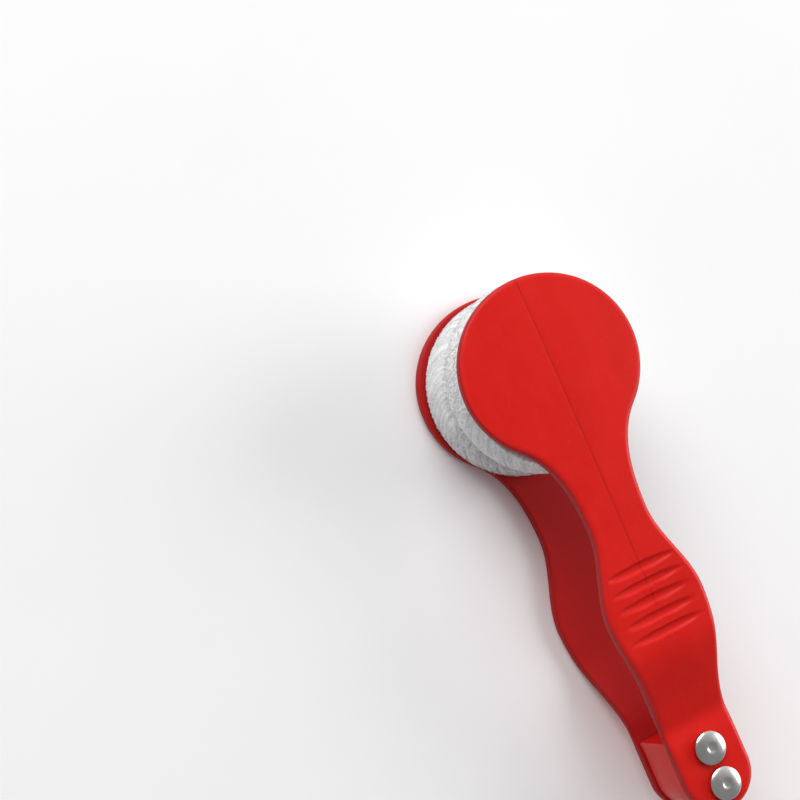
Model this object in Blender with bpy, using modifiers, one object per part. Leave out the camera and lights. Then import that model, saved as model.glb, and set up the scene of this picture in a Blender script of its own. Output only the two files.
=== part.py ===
"""Squeeze-type lens cleaner: two spoon-shaped plastic arms joined at the tail, each with a plush pad on its head.

The tool lies on the back arm's flat outer face. +X runs from the heads to the tail, +Z from the back arm to
the front arm. The origin is on the back arm's outer face, at the middle of its round head. The arms are drawn
squeezed, with the pads a lens's thickness apart. Each arm bends at a thin web just ahead of the tail.
"""

import math

import bmesh
import bpy
from mathutils import Matrix, Vector

MM = 0.001

# Arms
TOOL_THICKNESS = 17.0 * MM  # over both arms' outer faces, at the heads
ARM_THICKNESS = 1.6 * MM
ARM_EDGE_ROUND = 0.45 * MM
HEAD_HALF_LENGTH = 11.0 * MM
HEAD_HALF_WIDTH = 11.7 * MM
NECK_START_X = 8.0 * MM  # the head's ellipse runs into the neck here
NECK_X = 20.0 * MM
NECK_HALF_WIDTH = 4.0 * MM
NECK_LEAVE = 0.22  # the Bezier handles' shares of the run from the head to the neck
NECK_ARRIVE = 0.46
GRIP_X = 31.0 * MM
GRIP_HALF_WIDTH = 6.6 * MM
SHOULDER_START_X = 35.0 * MM  # the arm's face is flat up to here, then steps in towards the tail
WEB_X = 46.0 * MM  # the thin web where the arm bends, and the joint's axis
ROOT_INSET = 3.2 * MM  # how far the clamped root lies inside the face of the head
ROOT_HALF_WIDTH = 4.6 * MM
ROOT_END_X = 57.2 * MM
GRIP_GROOVES = 5
FIRST_GROOVE_X = 26.0 * MM
GROOVE_PITCH = 2.0 * MM
GROOVE_HALF_LENGTH = 4.6 * MM
GROOVE_HALF_WIDTH = 0.6 * MM
GROOVE_DEPTH = 0.35 * MM
GAP = 0.3 * MM  # clearance between pieces that touch

# Points along each stretch of the arm's outline
HEAD_STEPS = 22
NECK_STEPS = 9
GRIP_STEPS = 8
SHOULDER_STEPS = 9
ROOT_END_STEPS = 7

SMOOTH_ANGLE = 35  # degrees; sharper edges than this are drawn as edges

# Tail block with the key ring's lug, and the two rivets through the stack
BLOCK_START_X = 47.0 * MM
BLOCK_HALF_WIDTH = 4.3 * MM
BLOCK_END_STEPS = 12
LUG_X = 60.4 * MM
LUG_RADIUS = 3.6 * MM
LUG_WIDTH = 4.4 * MM
LUG_HOLE_RADIUS = 2.0 * MM
LUG_NARROWS = 0.6 * MM  # how much lower the lug's top is where it leaves the block
LUG_ROUND = 0.5 * MM
LUG_END_STEPS = 16
LUG_HOLE_SEGMENTS = 24
RIVET_XS = (49.4 * MM, 54.0 * MM)
RIVET_RADIUS = 1.0 * MM
RIVET_HEAD_RADIUS = 2.0 * MM
RIVET_HEAD_HEIGHT = 0.8 * MM
RIVET_HOLE_RADIUS = RIVET_RADIUS + GAP
RIVET_SEGMENTS = 20
RIVET_DOME_STEPS = 4

# Key ring, hanging from the lug with its far side on the surface that the tool lies on
RING_RADIUS = 11.2 * MM  # to the middle of the wire
RING_RADIAL = 1.6 * MM
RING_AXIAL = 2.0 * MM
RING_CORNER = 0.35 * MM
RING_CLEARANCE = 0.1 * MM
RING_SEGMENTS = 44

# Pads, round and set a little towards the neck, with heights measured from the inner face of the head
PAD_X = 0.75 * MM
PAD_HEIGHT = 6.3 * MM
PAD_RADIUS = 11.5 * MM
COVER_THICKNESS = 1.0 * MM
COVER_SHOULDER = 1.6 * MM  # radius of its upper edge
COVER_FOOT = 0.7 * MM  # and of its lower edge
SHOULDER_ROUND_STEPS = 3
FOOT_ROUND_STEPS = 2
COVER_INNER_CHAMFER = 0.6 * MM
HEM_INNER_RADIUS = 9.7 * MM
TAPE_RADIUS = 9.2 * MM
TAPE_THICKNESS = 0.5 * MM
CORE_RADIUS = 10.2 * MM  # the backing disc and the foam
DISC_THICKNESS = 1.0 * MM
DISC_CHAMFER = 0.2 * MM
FOAM_THICKNESS = 2.6 * MM
FOAM_CHAMFER = 0.5 * MM

MIDDLE_Z = TOOL_THICKNESS / 2
WEB_Z = ROOT_INSET + ARM_THICKNESS / 2
PAD_SEGMENTS = 40


def start_clean():
    for old in list(bpy.data.objects):
        bpy.data.objects.remove(old, do_unlink=True)


def new_collection(name):
    made = bpy.data.collections.new(name)
    bpy.context.scene.collection.children.link(made)
    return made


def material(name, colour, roughness, metallic=0.0):
    made = bpy.data.materials.new(name)
    made.use_nodes = True
    shader = made.node_tree.nodes["Principled BSDF"]
    shader.inputs["Base Color"].default_value = (*colour, 1.0)
    shader.inputs["Roughness"].default_value = roughness
    shader.inputs["Metallic"].default_value = metallic
    return made


def new_object(name, mesh, collection, surface=None):
    made = bpy.data.objects.new(name, mesh)
    collection.objects.link(made)
    if surface:
        mesh.materials.append(surface)
        mesh.shade_smooth()
        mesh.set_sharp_from_angle(angle=math.radians(SMOOTH_ANGLE))
    return made


def bevel(obj, width, segments=2, angle=40):
    rounding = obj.modifiers.new("Bevel", "BEVEL")
    rounding.width = width
    rounding.segments = segments
    rounding.limit_method = "ANGLE"
    rounding.angle_limit = math.radians(angle)
    return rounding


def boolean(obj, cutter, operation="DIFFERENCE"):
    cut = obj.modifiers.new("Boolean", "BOOLEAN")
    cut.operation = operation
    cut.object = cutter
    return cut


def as_cutter(obj):
    obj.hide_render = True
    obj.display_type = "WIRE"
    return obj


# ---------------------------------------------------------------- arms


def smooth_step(t):
    t = min(max(t, 0.0), 1.0)
    return t * t * (3 - 2 * t)


def face_height(x):
    """How far the back arm's outer face stands above the surface it lies on."""
    return ROOT_INSET * smooth_step((x - SHOULDER_START_X) / (WEB_X - SHOULDER_START_X))


def neck_curve(t):
    """A Bezier from the head's ellipse, along its tangent, to the narrowest part of the neck."""
    start = Vector((NECK_START_X, HEAD_HALF_WIDTH * math.sqrt(1 - (NECK_START_X / HEAD_HALF_LENGTH) ** 2)))
    slope = -((HEAD_HALF_WIDTH / HEAD_HALF_LENGTH) ** 2) * start.x / start.y
    end = Vector((NECK_X, NECK_HALF_WIDTH))
    reach = NECK_X - NECK_START_X
    leave = start + NECK_LEAVE * reach * Vector((1, slope))
    arrive = end - NECK_ARRIVE * reach * Vector((1, 0))
    a, b, c, d = (1 - t) ** 3, 3 * t * (1 - t) ** 2, 3 * t * t * (1 - t), t**3
    return a * start + b * leave + c * arrive + d * end


def arm_half_widths():
    """(x, half width) down the arm, from the head's tip to the web."""
    widths = []
    head_turn = math.acos(-NECK_START_X / HEAD_HALF_LENGTH)
    for i in range(HEAD_STEPS):
        turn = head_turn * i / HEAD_STEPS
        widths.append((-HEAD_HALF_LENGTH * math.cos(turn), HEAD_HALF_WIDTH * math.sin(turn)))
    for i in range(NECK_STEPS):
        point = neck_curve(i / NECK_STEPS)
        widths.append((point.x, point.y))
    for i in range(GRIP_STEPS):
        t = i / GRIP_STEPS
        half = NECK_HALF_WIDTH + (GRIP_HALF_WIDTH - NECK_HALF_WIDTH) * smooth_step(t)
        widths.append((NECK_X + (GRIP_X - NECK_X) * t, half))
    end_x = WEB_X - GAP / 2
    for i in range(SHOULDER_STEPS + 1):
        t = i / SHOULDER_STEPS
        half = GRIP_HALF_WIDTH + (ROOT_HALF_WIDTH - GRIP_HALF_WIDTH) * smooth_step(t)
        widths.append((GRIP_X + (end_x - GRIP_X) * t, half))
    return widths


def root_half_widths():
    """(x, half width) down the clamped root, from the web to its round end."""
    round_centre = ROOT_END_X - ROOT_HALF_WIDTH
    widths = [(WEB_X + GAP / 2, ROOT_HALF_WIDTH)]
    for i in range(ROOT_END_STEPS + 1):
        turn = math.pi / 2 * i / ROOT_END_STEPS
        widths.append((round_centre + ROOT_HALF_WIDTH * math.sin(turn), ROOT_HALF_WIDTH * math.cos(turn)))
    return widths


def strip_mesh(name, widths, height, centre):
    """An open strip from one edge to the other, facing down, that Solidify makes a plate of.

    Its points are measured from centre, the joint's axis.
    """
    bm = bmesh.new()
    rows = []
    for x, half in widths:
        place = Vector((x, 0, height(x))) - centre
        if half < 0.01 * MM:
            rows.append([bm.verts.new(place)])
        else:
            rows.append([bm.verts.new(place + Vector((0, side * half, 0))) for side in (1, -1)])
    for near, far in zip(rows, rows[1:]):
        bm.faces.new(near + far[::-1])
    bmesh.ops.recalc_face_normals(bm, faces=bm.faces)
    if sum(face.normal.z for face in bm.faces) > 0:
        bmesh.ops.reverse_faces(bm, faces=bm.faces)
    mesh = bpy.data.meshes.new(name)
    bm.to_mesh(mesh)
    bm.free()
    return mesh


def thicken(obj):
    shell = obj.modifiers.new("Solidify", "SOLIDIFY")
    shell.thickness = ARM_THICKNESS
    shell.offset = -1
    shell.use_even_offset = True


def groove_cutter(cutters, centre):
    """Lens-shaped finger grooves across the grip's outer face, measured from the joint's axis."""
    bm = bmesh.new()
    for i in range(GRIP_GROOVES):
        place = Vector((FIRST_GROOVE_X + GROOVE_PITCH * i, 0, 0)) - centre
        size = Matrix.Diagonal((GROOVE_HALF_WIDTH, GROOVE_HALF_LENGTH, GROOVE_DEPTH, 1))
        ball = bmesh.ops.create_uvsphere(bm, u_segments=16, v_segments=6, radius=1)
        bmesh.ops.transform(bm, verts=ball["verts"], matrix=Matrix.Translation(place) @ size)
    mesh = bpy.data.meshes.new("grip_grooves")
    bm.to_mesh(mesh)
    bm.free()
    return as_cutter(new_object("grip_grooves", mesh, cutters))


def rivet_holes(cutters):
    bm = bmesh.new()
    for x in RIVET_XS:
        bmesh.ops.create_cone(
            bm,
            cap_ends=True,
            segments=RIVET_SEGMENTS,
            radius1=RIVET_HOLE_RADIUS,
            radius2=RIVET_HOLE_RADIUS,
            depth=TOOL_THICKNESS,
            matrix=Matrix.Translation((x, 0, MIDDLE_Z)),
        )
    mesh = bpy.data.meshes.new("rivet_holes")
    bm.to_mesh(mesh)
    bm.free()
    return as_cutter(new_object("rivet_holes", mesh, cutters))


def build_arms(parts, cutters, holes, plastic):
    """The front arm is the back arm turned half way round the tool's long axis."""
    centre = Vector((WEB_X, 0, WEB_Z))
    arm_mesh = strip_mesh("arm", arm_half_widths(), face_height, centre)
    root_mesh = strip_mesh("arm_root", root_half_widths(), face_height, centre)
    grooves = groove_cutter(cutters, centre)
    made = {}
    for side, z, turn in (("back", WEB_Z, 0.0), ("front", TOOL_THICKNESS - WEB_Z, math.pi)):
        pivot = bpy.data.objects.new(side + "_arm_pivot", None)
        pivot.location = (WEB_X, 0, z)
        pivot.rotation_euler = (turn, 0, 0)
        parts.objects.link(pivot)
        arm = new_object(side + "_arm", arm_mesh.copy(), parts, plastic)
        root = new_object(side + "_arm_root", root_mesh.copy(), parts, plastic)
        side_grooves = grooves.copy()
        side_grooves.name = side + "_grip_grooves"
        cutters.objects.link(side_grooves)
        for child in (arm, root, side_grooves):
            child.parent = pivot
        for plate in (arm, root):
            thicken(plate)
            bevel(plate, ARM_EDGE_ROUND, segments=2, angle=50)
        boolean(arm, side_grooves)
        boolean(root, holes)
        made[side] = pivot
    bpy.data.objects.remove(grooves)
    return made


# ---------------------------------------------------------------- tail


def build_tail_block(parts, cutters, holes, plastic):
    """A block between the two roots, with a flat lug behind it for the key ring."""
    low = ROOT_INSET + ARM_THICKNESS + GAP
    height = TOOL_THICKNESS - 2 * low
    round_centre = ROOT_END_X - ROOT_HALF_WIDTH
    outline = [(BLOCK_START_X, -BLOCK_HALF_WIDTH)]
    for i in range(BLOCK_END_STEPS + 1):
        turn = -math.pi / 2 + math.pi * i / BLOCK_END_STEPS
        outline.append((
            round_centre + BLOCK_HALF_WIDTH * math.cos(turn),
            BLOCK_HALF_WIDTH * math.sin(turn),
        ))
    outline.append((BLOCK_START_X, BLOCK_HALF_WIDTH))
    bm = bmesh.new()
    floor = bm.faces.new([bm.verts.new((x, y, low)) for x, y in outline])
    raised = bmesh.ops.extrude_face_region(bm, geom=[floor])
    lifted = [v for v in raised["geom"] if isinstance(v, bmesh.types.BMVert)]
    bmesh.ops.translate(bm, verts=lifted, vec=(0, 0, height))
    bmesh.ops.recalc_face_normals(bm, faces=bm.faces)
    mesh = bpy.data.meshes.new("tail_block")
    bm.to_mesh(mesh)
    bm.free()
    block = new_object("tail_block", mesh, parts, plastic)
    boolean(block, lug_body(cutters), "UNION")
    boolean(block, lug_hole(cutters))
    boolean(block, holes)
    return block


def lug_body(cutters):
    """A round-ended upright tongue that starts inside the block."""
    start_x = ROOT_END_X - ROOT_HALF_WIDTH
    outline = [(start_x, MIDDLE_Z - LUG_RADIUS + LUG_NARROWS)]
    for i in range(LUG_END_STEPS + 1):
        turn = -math.pi / 2 + math.pi * i / LUG_END_STEPS
        outline.append((LUG_X + LUG_RADIUS * math.cos(turn), MIDDLE_Z + LUG_RADIUS * math.sin(turn)))
    outline.append((start_x, MIDDLE_Z + LUG_RADIUS - LUG_NARROWS))
    bm = bmesh.new()
    side = bm.faces.new([bm.verts.new((x, -LUG_WIDTH / 2, z)) for x, z in outline])
    raised = bmesh.ops.extrude_face_region(bm, geom=[side])
    lifted = [v for v in raised["geom"] if isinstance(v, bmesh.types.BMVert)]
    bmesh.ops.translate(bm, verts=lifted, vec=(0, LUG_WIDTH, 0))
    bmesh.ops.recalc_face_normals(bm, faces=bm.faces)
    mesh = bpy.data.meshes.new("lug_body")
    bm.to_mesh(mesh)
    bm.free()
    lug = as_cutter(new_object("lug_body", mesh, cutters))
    bevel(lug, LUG_ROUND)
    return lug


def lug_hole(cutters):
    bm = bmesh.new()
    lying = Matrix.Translation((LUG_X, 0, MIDDLE_Z)) @ Matrix.Rotation(math.pi / 2, 4, "X")
    bmesh.ops.create_cone(
        bm,
        cap_ends=True,
        segments=LUG_HOLE_SEGMENTS,
        radius1=LUG_HOLE_RADIUS,
        radius2=LUG_HOLE_RADIUS,
        depth=3 * LUG_WIDTH,
        matrix=lying,
    )
    mesh = bpy.data.meshes.new("lug_hole")
    bm.to_mesh(mesh)
    bm.free()
    return as_cutter(new_object("lug_hole", mesh, cutters))


def revolve(obj, segments):
    """Turns the object's open or closed profile about its Z axis."""
    screw = obj.modifiers.new("Screw", "SCREW")
    screw.steps = segments
    screw.render_steps = segments
    screw.use_merge_vertices = True
    screw.merge_threshold = 0.00001
    screw.use_smooth_shade = True


def profile_mesh(name, profile, closed=False):
    """A chain of edges through (radius, z) points, for revolve."""
    bm = bmesh.new()
    verts = [bm.verts.new((radius, 0, z)) for radius, z in profile]
    ends = verts[1:] + verts[:1] if closed else verts[1:]
    for above, below in zip(verts, ends):
        bm.edges.new((above, below))
    mesh = bpy.data.meshes.new(name)
    bm.to_mesh(mesh)
    bm.free()
    return mesh


def turned(name, profile, segments, collection, surface):
    """A solid of revolution about Z from (radius, z) points that run down its outer side."""
    obj = new_object(name, profile_mesh(name, profile), collection, surface)
    revolve(obj, segments)
    return obj


def build_rivets(parts, steel):
    """Two solid rivets with a low dome at each end, through both roots and the block."""
    face = TOOL_THICKNESS / 2 - ROOT_INSET + GAP  # from the middle to the underside of a rivet's head
    dome = []
    for i in range(RIVET_DOME_STEPS + 1):
        turn = math.pi / 2 * i / RIVET_DOME_STEPS
        dome.append((RIVET_HEAD_RADIUS * math.sin(turn), face + RIVET_HEAD_HEIGHT * math.cos(turn)))
    upper = dome + [(RIVET_RADIUS, face)]
    profile = upper + [(radius, -z) for radius, z in reversed(upper)]
    for number, x in enumerate(RIVET_XS, start=1):
        rivet = turned(f"tail_rivet_{number}", profile, RIVET_SEGMENTS, parts, steel)
        rivet.location = (x, 0, MIDDLE_Z)


def ring_droop():
    """The angle below level at which the ring's far side just clears the surface under the tool."""
    reach = 2 * RING_RADIUS + RING_RADIAL / 2
    drop = MIDDLE_Z - RING_CLEARANCE
    angle = 0.0
    for _ in range(20):
        angle = math.asin((drop - RING_AXIAL / 2 * math.cos(angle)) / reach)
    return angle


def build_key_ring(parts, steel):
    """A flat-wire ring through the lug, parented to an empty on the axis of the lug's hole."""
    half_r, half_z = RING_RADIAL / 2, RING_AXIAL / 2
    outline = []
    for quarter, (sign_r, sign_z) in enumerate(((1, -1), (-1, -1), (-1, 1), (1, 1))):
        for turn in (-90 * quarter, -90 * (quarter + 1)):
            outline.append((
                RING_RADIUS + sign_r * (half_r - RING_CORNER) + RING_CORNER * math.cos(math.radians(turn)),
                sign_z * (half_z - RING_CORNER) + RING_CORNER * math.sin(math.radians(turn)),
            ))
    ring = new_object("key_ring", profile_mesh("key_ring", outline, closed=True), parts, steel)
    revolve(ring, RING_SEGMENTS)
    pivot = bpy.data.objects.new("key_ring_pivot", None)
    pivot.location = (LUG_X, 0, MIDDLE_Z)
    pivot.rotation_euler = (0, ring_droop(), 0)
    parts.objects.link(pivot)
    ring.parent = pivot
    ring.location = (RING_RADIUS, 0, 0)


# ---------------------------------------------------------------- pads


def cover_profile():
    """The plush cover's section: over the top, down the side, and a hem turned in under the backing disc."""
    hem_top = GAP + TAPE_THICKNESS
    ceiling = PAD_HEIGHT - COVER_THICKNESS
    inside = CORE_RADIUS + GAP
    profile = [(0, PAD_HEIGHT)]
    for i in range(SHOULDER_ROUND_STEPS + 1):
        turn = math.pi / 2 * i / SHOULDER_ROUND_STEPS
        profile.append((
            PAD_RADIUS - COVER_SHOULDER * (1 - math.sin(turn)),
            PAD_HEIGHT - COVER_SHOULDER * (1 - math.cos(turn)),
        ))
    for i in range(FOOT_ROUND_STEPS + 1):
        turn = math.pi / 2 * i / FOOT_ROUND_STEPS
        profile.append((
            PAD_RADIUS - COVER_FOOT * (1 - math.cos(turn)),
            GAP + COVER_FOOT * (1 - math.sin(turn)),
        ))
    profile += [
        (HEM_INNER_RADIUS, GAP),
        (HEM_INNER_RADIUS, hem_top),
        (inside, hem_top),
        (inside, ceiling - COVER_INNER_CHAMFER),
        (inside - COVER_INNER_CHAMFER, ceiling),
        (0, ceiling),
    ]
    return profile


def puck_profile(radius, low, thickness, chamfer=0.0):
    """The section of a round slab whose rims may be chamfered."""
    top = low + thickness
    if chamfer:
        inner = radius - chamfer
        rim = [(inner, top), (radius, top - chamfer), (radius, low + chamfer), (inner, low)]
    else:
        rim = [(radius, top), (radius, low)]
    return [(0, top)] + rim + [(0, low)]


def build_pads(parts, pivots, surfaces):
    """Each pad is built on the inner face of its head and goes with its arm."""
    tape_low = GAP
    disc_low = tape_low + TAPE_THICKNESS + GAP
    foam_low = disc_low + DISC_THICKNESS + GAP
    on_head = Vector((PAD_X - WEB_X, 0, ARM_THICKNESS - WEB_Z))
    for side, pivot in pivots.items():
        layers = [
            ("_pad_tape", puck_profile(TAPE_RADIUS, tape_low, TAPE_THICKNESS), surfaces["tape"]),
            ("_pad_disc", puck_profile(CORE_RADIUS, disc_low, DISC_THICKNESS, DISC_CHAMFER), surfaces["disc"]),
            ("_pad_foam", puck_profile(CORE_RADIUS, foam_low, FOAM_THICKNESS, FOAM_CHAMFER), surfaces["foam"]),
            ("_pad_cover", cover_profile(), surfaces["plush"]),
        ]
        for name, profile, surface in layers:
            piece = turned(side + name, profile, PAD_SEGMENTS, parts, surface)
            piece.parent = pivot
            piece.location = on_head


def main():
    start_clean()
    parts = new_collection("squeeze_lens_cleaner")
    cutters = new_collection("cutters")
    red = material("red_plastic", (0.68, 0.018, 0.014), 0.32)
    steel = material("nickel_steel", (0.62, 0.61, 0.59), 0.25, 1.0)
    surfaces = {
        "plush": material("white_plush", (0.82, 0.81, 0.80), 0.95),
        "foam": material("white_foam", (0.78, 0.77, 0.73), 0.9),
        "disc": material("backing_plastic", (0.75, 0.75, 0.74), 0.5),
        "tape": material("foam_tape", (0.80, 0.80, 0.78), 0.7),
    }
    holes = rivet_holes(cutters)
    pivots = build_arms(parts, cutters, holes, red)
    build_tail_block(parts, cutters, holes, red)
    build_rivets(parts, steel)
    build_key_ring(parts, steel)
    build_pads(parts, pivots, surfaces)


main()
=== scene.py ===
"""Looks for the squeeze-type lens cleaner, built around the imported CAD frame.

Both arms are one moulding each, from the head's tip to the clamped root, and bend at the web near the tail.
Each head carries a plush pad: a napped cover gathered over foam. The tail holds a block, two rivets and a
split ring. Lengths are in metres, in the row frame: +X from the heads to the tail, +Z from back to front.
"""

import math

import bmesh
import bpy
import numpy as np
from mathutils import Matrix, Vector, noise
from mathutils.bvhtree import BVHTree


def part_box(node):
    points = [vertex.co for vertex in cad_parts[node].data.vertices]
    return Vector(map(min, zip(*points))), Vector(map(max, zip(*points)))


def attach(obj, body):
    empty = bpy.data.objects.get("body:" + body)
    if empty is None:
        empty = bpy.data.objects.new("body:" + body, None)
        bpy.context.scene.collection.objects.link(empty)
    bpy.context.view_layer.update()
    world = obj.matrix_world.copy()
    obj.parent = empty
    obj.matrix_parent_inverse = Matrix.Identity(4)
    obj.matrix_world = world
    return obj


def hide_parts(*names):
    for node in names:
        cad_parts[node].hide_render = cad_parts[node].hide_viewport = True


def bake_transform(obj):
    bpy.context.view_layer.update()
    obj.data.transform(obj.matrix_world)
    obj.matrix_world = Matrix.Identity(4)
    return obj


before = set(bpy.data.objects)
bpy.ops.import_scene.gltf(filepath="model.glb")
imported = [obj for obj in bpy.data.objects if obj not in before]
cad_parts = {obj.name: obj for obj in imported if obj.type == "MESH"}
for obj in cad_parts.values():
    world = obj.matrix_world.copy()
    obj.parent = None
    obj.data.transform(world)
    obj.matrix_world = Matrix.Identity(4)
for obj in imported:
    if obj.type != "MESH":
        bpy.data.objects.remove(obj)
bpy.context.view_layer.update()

MM = 0.001

# ---------------------------------------------------------------- sizes from the frame

arm_low, arm_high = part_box("back_arm")
root_low, root_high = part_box("back_arm_root")
cover_low, cover_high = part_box("back_pad_cover")

HEAD_HALF_LENGTH = -arm_low.x
HEAD_HALF_WIDTH = arm_high.y
ARM_THICKNESS = root_high.z - root_low.z
ROOT_INSET = root_low.z
ROOT_HALF_WIDTH = root_high.y
ROOT_END_X = root_high.x
WEB_X = (arm_high.x + root_low.x) / 2
TOOL_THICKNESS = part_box("front_arm")[1].z
MIDDLE_Z = TOOL_THICKNESS / 2
PAD_X = (cover_low.x + cover_high.x) / 2
PAD_RADIUS = cover_high.y
PAD_HEIGHT = cover_high.z - ARM_THICKNESS  # from the head's inner face
CORE_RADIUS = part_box("back_pad_disc")[1].y
TAPE_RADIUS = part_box("back_pad_tape")[1].y
FOAM_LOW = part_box("back_pad_foam")[0].z - ARM_THICKNESS
FOAM_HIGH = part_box("back_pad_foam")[1].z - ARM_THICKNESS
# Takes a piece of the back side to its place on the front side
TURNED_OVER = Matrix.Translation((0, 0, TOOL_THICKNESS)) @ Matrix.Rotation(math.pi, 4, "X")

# The arm's outline and side profile, as in the CAD
NECK_START_X = 8.0 * MM
NECK_X = 20.0 * MM
NECK_HALF_WIDTH = 4.0 * MM
NECK_LEAVES = 0.22  # how far the neck's curve runs on along each end's direction, as a share of its length
NECK_ARRIVES = 0.46
GRIP_X = 31.0 * MM
GRIP_HALF_WIDTH = 6.6 * MM
SHOULDER_START_X = 35.0 * MM
GRIP_GROOVES = 5
GROOVE_PITCH = 2.0 * MM
FIRST_GROOVE_X = 26.0 * MM
GROOVE_HALF_LENGTH = 4.6 * MM
GROOVE_HALF_WIDTH = 0.6 * MM
GROOVE_DEPTH = 0.35 * MM

# What only the moulding's fine surface has
OUTER_ROUND = 0.68 * MM
INNER_ROUND = 0.28 * MM
ROUND_STEPS = {"outer": 7, "inner": 4}
INNER_FACE_SHADE = 0.75  # the inner face gets nearly as much painted shade, and as rough a finish, as the side walls
WALL_SHADE_FADE = 2.5  # the painted shade on the wall ends this many times nearer than the outer round does
RIM_HIGHLIGHT = 0.5  # how strongly the middle of the outer round is painted lighter: a painted highlight
WEB_GROOVE_DEPTH = 0.34 * MM
WEB_GROOVE_REACH = 1.5 * MM
CREASE_HALF_WIDTH = 0.16 * MM
CREASE_DEPTH = 0.010 * MM
FOLD_SLOPE = 0.012  # how much one half of the face falls away towards the neck
HEAD_CROWN = 0.38 * MM  # how far the head's face falls away from its middle to its rim
RELIEF_END_X = GRIP_X - 3 * GROOVE_PITCH  # where the crown, the crease and the fold have faded out
HEAD_STEPS = 400  # points along the outline, before they are spaced evenly
CURVE_STEPS = 200
SPACING = 0.36 * MM
FINE_SPACING = 0.13 * MM


# ---------------------------------------------------------------- helpers


def smooth_step(t):
    t = np.clip(t, 0.0, 1.0)
    return t * t * (3 - 2 * t)


def new_object(name, mesh, surface, smooth_angle=30):
    mesh.materials.append(surface)
    mesh.shade_smooth()
    mesh.set_sharp_from_angle(angle=math.radians(smooth_angle))
    made = bpy.data.objects.new(name, mesh)
    bpy.context.scene.collection.objects.link(made)
    return made


def grid_mesh(name, points, wrap, weld=0.0, **attributes):
    """A mesh of quads through points[row, column], with a number at each point for each attribute.

    wrap closes each row into a loop, and weld joins points closer than that and turns all faces outwards.
    """
    rows, columns = points.shape[:2]
    at = np.arange(rows * columns).reshape(rows, columns)
    right = np.roll(at, -1, axis=1) if wrap else at[:, 1:]
    left = at if wrap else at[:, :-1]
    quads = np.stack([left[:-1], right[:-1], right[1:], left[1:]], axis=-1).reshape(-1, 4)
    mesh = bpy.data.meshes.new(name)
    mesh.from_pydata(points.reshape(-1, 3).tolist(), [], quads.tolist())
    for key, values in attributes.items():
        layer = mesh.attributes.new(key, "FLOAT", "POINT")
        layer.data.foreach_set("value", np.asarray(values, np.float32).ravel())
    if weld:
        bm = bmesh.new()
        bm.from_mesh(mesh)
        bmesh.ops.remove_doubles(bm, verts=bm.verts, dist=weld)
        bmesh.ops.recalc_face_normals(bm, faces=bm.faces)
        bm.to_mesh(mesh)
        bm.free()
    return mesh


def applied(obj):
    """Turns the object's modifiers into its mesh."""
    depsgraph = bpy.context.evaluated_depsgraph_get()
    mesh = bpy.data.meshes.new_from_object(obj.evaluated_get(depsgraph))
    obj.modifiers.clear()
    obj.data = mesh
    return obj


# ---------------------------------------------------------------- materials


class Nodes:
    """A small builder for one material's node tree."""

    def __init__(self, name):
        self.material = bpy.data.materials.new(name)
        self.material.use_nodes = True
        self.tree = self.material.node_tree
        self.shader = self.tree.nodes["Principled BSDF"]
        self.place = self.node("ShaderNodeTexCoord").outputs["Object"]

    def node(self, kind, **settings):
        made = self.tree.nodes.new(kind)
        for key, value in settings.items():
            setattr(made, key, value)
        return made

    def link(self, source, target):
        self.tree.links.new(source, target)

    def stretched(self, scale):
        mapping = self.node("ShaderNodeMapping")
        mapping.inputs["Scale"].default_value = scale
        self.link(self.place, mapping.inputs["Vector"])
        return mapping.outputs["Vector"]

    def noise(self, scale, detail=2.0, vector=None):
        made = self.node("ShaderNodeTexNoise")
        made.inputs["Scale"].default_value = scale
        made.inputs["Detail"].default_value = detail
        self.link(vector or self.place, made.inputs["Vector"])
        return made.outputs["Fac"]

    def ramp(self, value, low, high, start=0.3, end=0.7):
        """value, from start to end, becomes a colour or a grey from low to high."""
        made = self.node("ShaderNodeValToRGB")
        for stop, at, colour in zip(made.color_ramp.elements, (start, end), (low, high)):
            stop.position = at
            stop.color = (*colour, 1.0) if isinstance(colour, tuple) else (colour, colour, colour, 1.0)
        self.link(value, made.inputs["Fac"])
        return made.outputs["Color"]

    def attribute(self, name):
        made = self.node("ShaderNodeAttribute", attribute_name=name)
        return made.outputs["Fac"]

    def mix(self, share, first, second):
        """first where share is 0, second where it is 1."""
        made = self.node("ShaderNodeMix", data_type="RGBA")
        for value, socket in ((share, made.inputs[0]), (first, made.inputs[6]), (second, made.inputs[7])):
            if isinstance(value, bpy.types.NodeSocket):
                self.link(value, socket)
            elif isinstance(value, tuple):
                socket.default_value = (*value, 1.0)
            else:
                socket.default_value = value
        return made.outputs[2]

    def bump(self, height, distance, strength=1.0, below=None):
        made = self.node("ShaderNodeBump")
        made.inputs["Distance"].default_value = distance
        made.inputs["Strength"].default_value = strength
        self.link(height, made.inputs["Height"])
        if below:
            self.link(below, made.inputs["Normal"])
        return made.outputs["Normal"]

    def set(self, **values):
        """Sets or links the shader's inputs; an underscore stands for a space in a name."""
        for key, value in values.items():
            socket = self.shader.inputs[key.replace("_", " ")]
            if isinstance(value, bpy.types.NodeSocket):
                self.link(value, socket)
            elif isinstance(value, tuple):
                socket.default_value = (*value, 1.0)
            else:
                socket.default_value = value


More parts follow.
